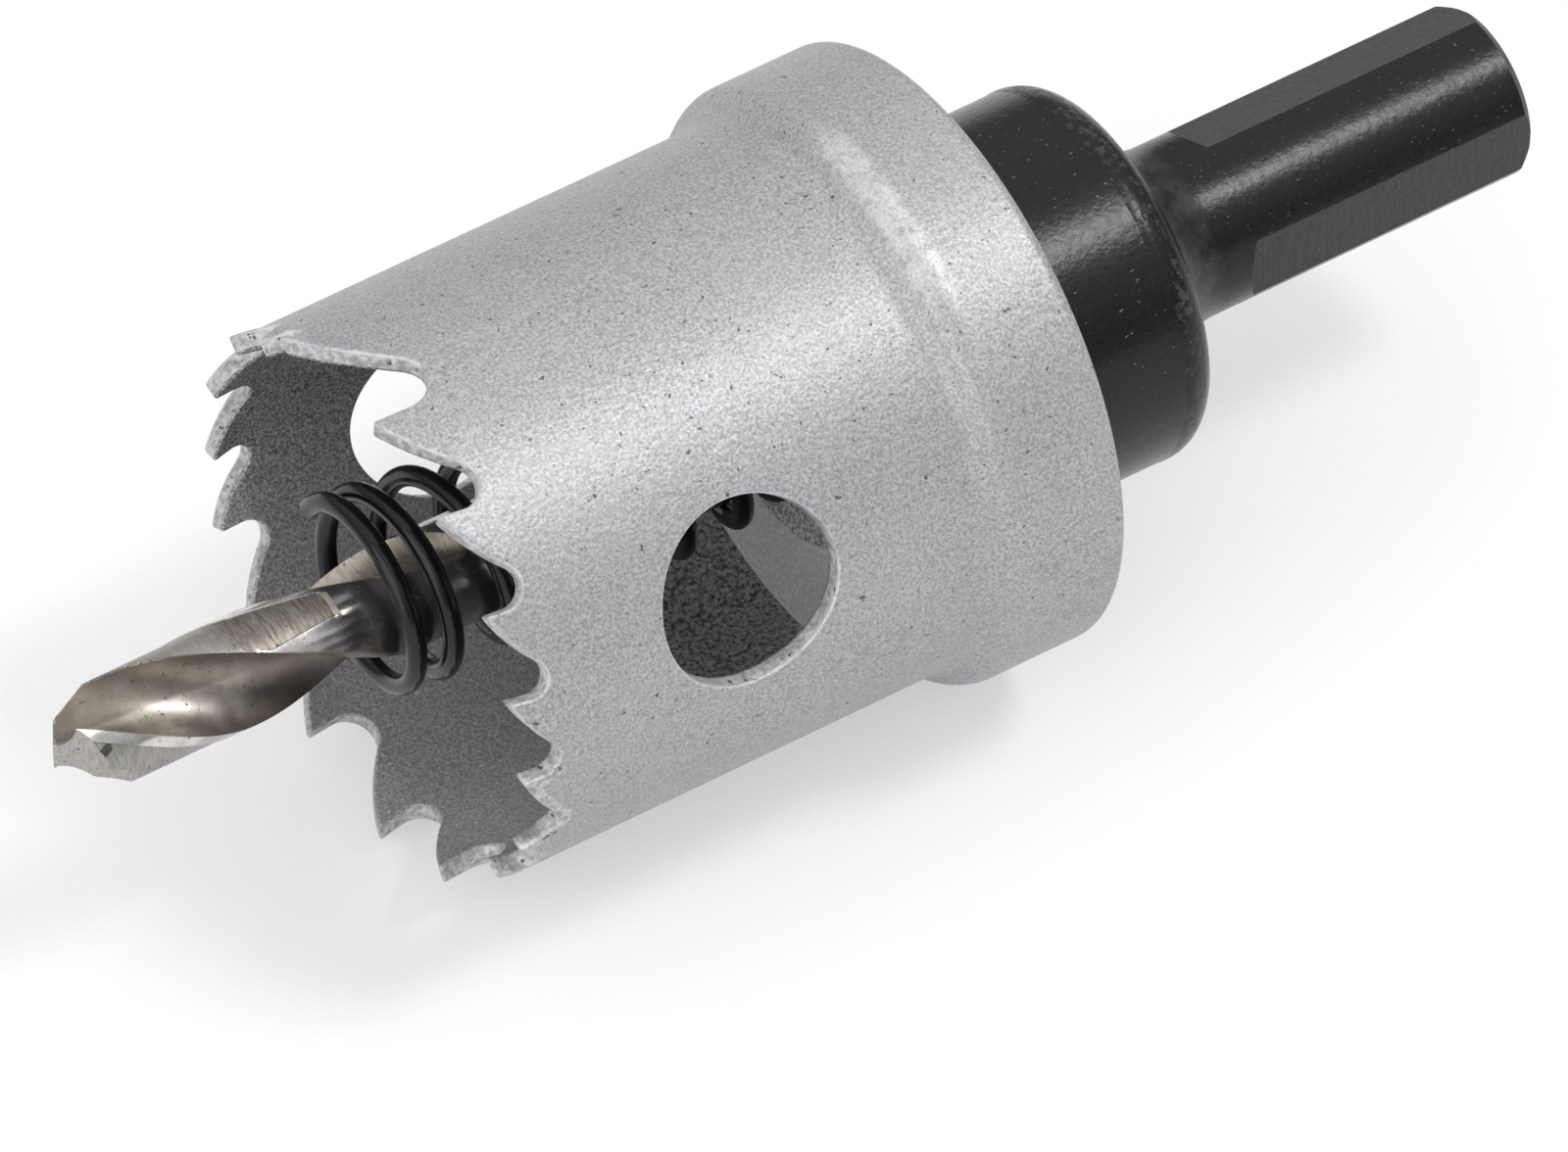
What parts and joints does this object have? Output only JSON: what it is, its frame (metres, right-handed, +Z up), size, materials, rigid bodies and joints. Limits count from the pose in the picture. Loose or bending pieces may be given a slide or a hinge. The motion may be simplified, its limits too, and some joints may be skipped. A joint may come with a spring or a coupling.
{
  "type": "hole saw",
  "caption": "Hole saw with a toothed cup, a pilot drill inside an ejector spring, and an arbor with a flatted round shank, lying on its ring.",
  "frame": {"origin": "on the floor, under the middle of the tool's length and under its axis", "axes": "+X along the tool's axis from the drill's point towards the shank, +Z up, with the saw lying on its ring, and +Y to the side that the picture's camera looks away to"},
  "size_m": [0.0918, 0.035, 0.035],
  "materials": {
    "cup_coating": "speckled grey metallic coating with an orange-peel surface, worn bright at the teeth",
    "base_coating": "the same speckled grey metallic coating, rubbed bright at its edges",
    "blackened_steel": "black oxide, satin, with scratches and white specks",
    "drill_steel": "warm grey ground high-speed steel with polished flutes",
    "spring_steel": "satin black spring wire",
    "screw_steel": "black oxide"
  },
  "bodies": {
    "root": {"saw_cup": "cup_coating", "base_plate": "base_coating", "arbor": "blackened_steel", "pilot_drill": "drill_steel", "ejector_spring": "spring_steel", "set_screw": "screw_steel"}
  },
  "joints": []
}
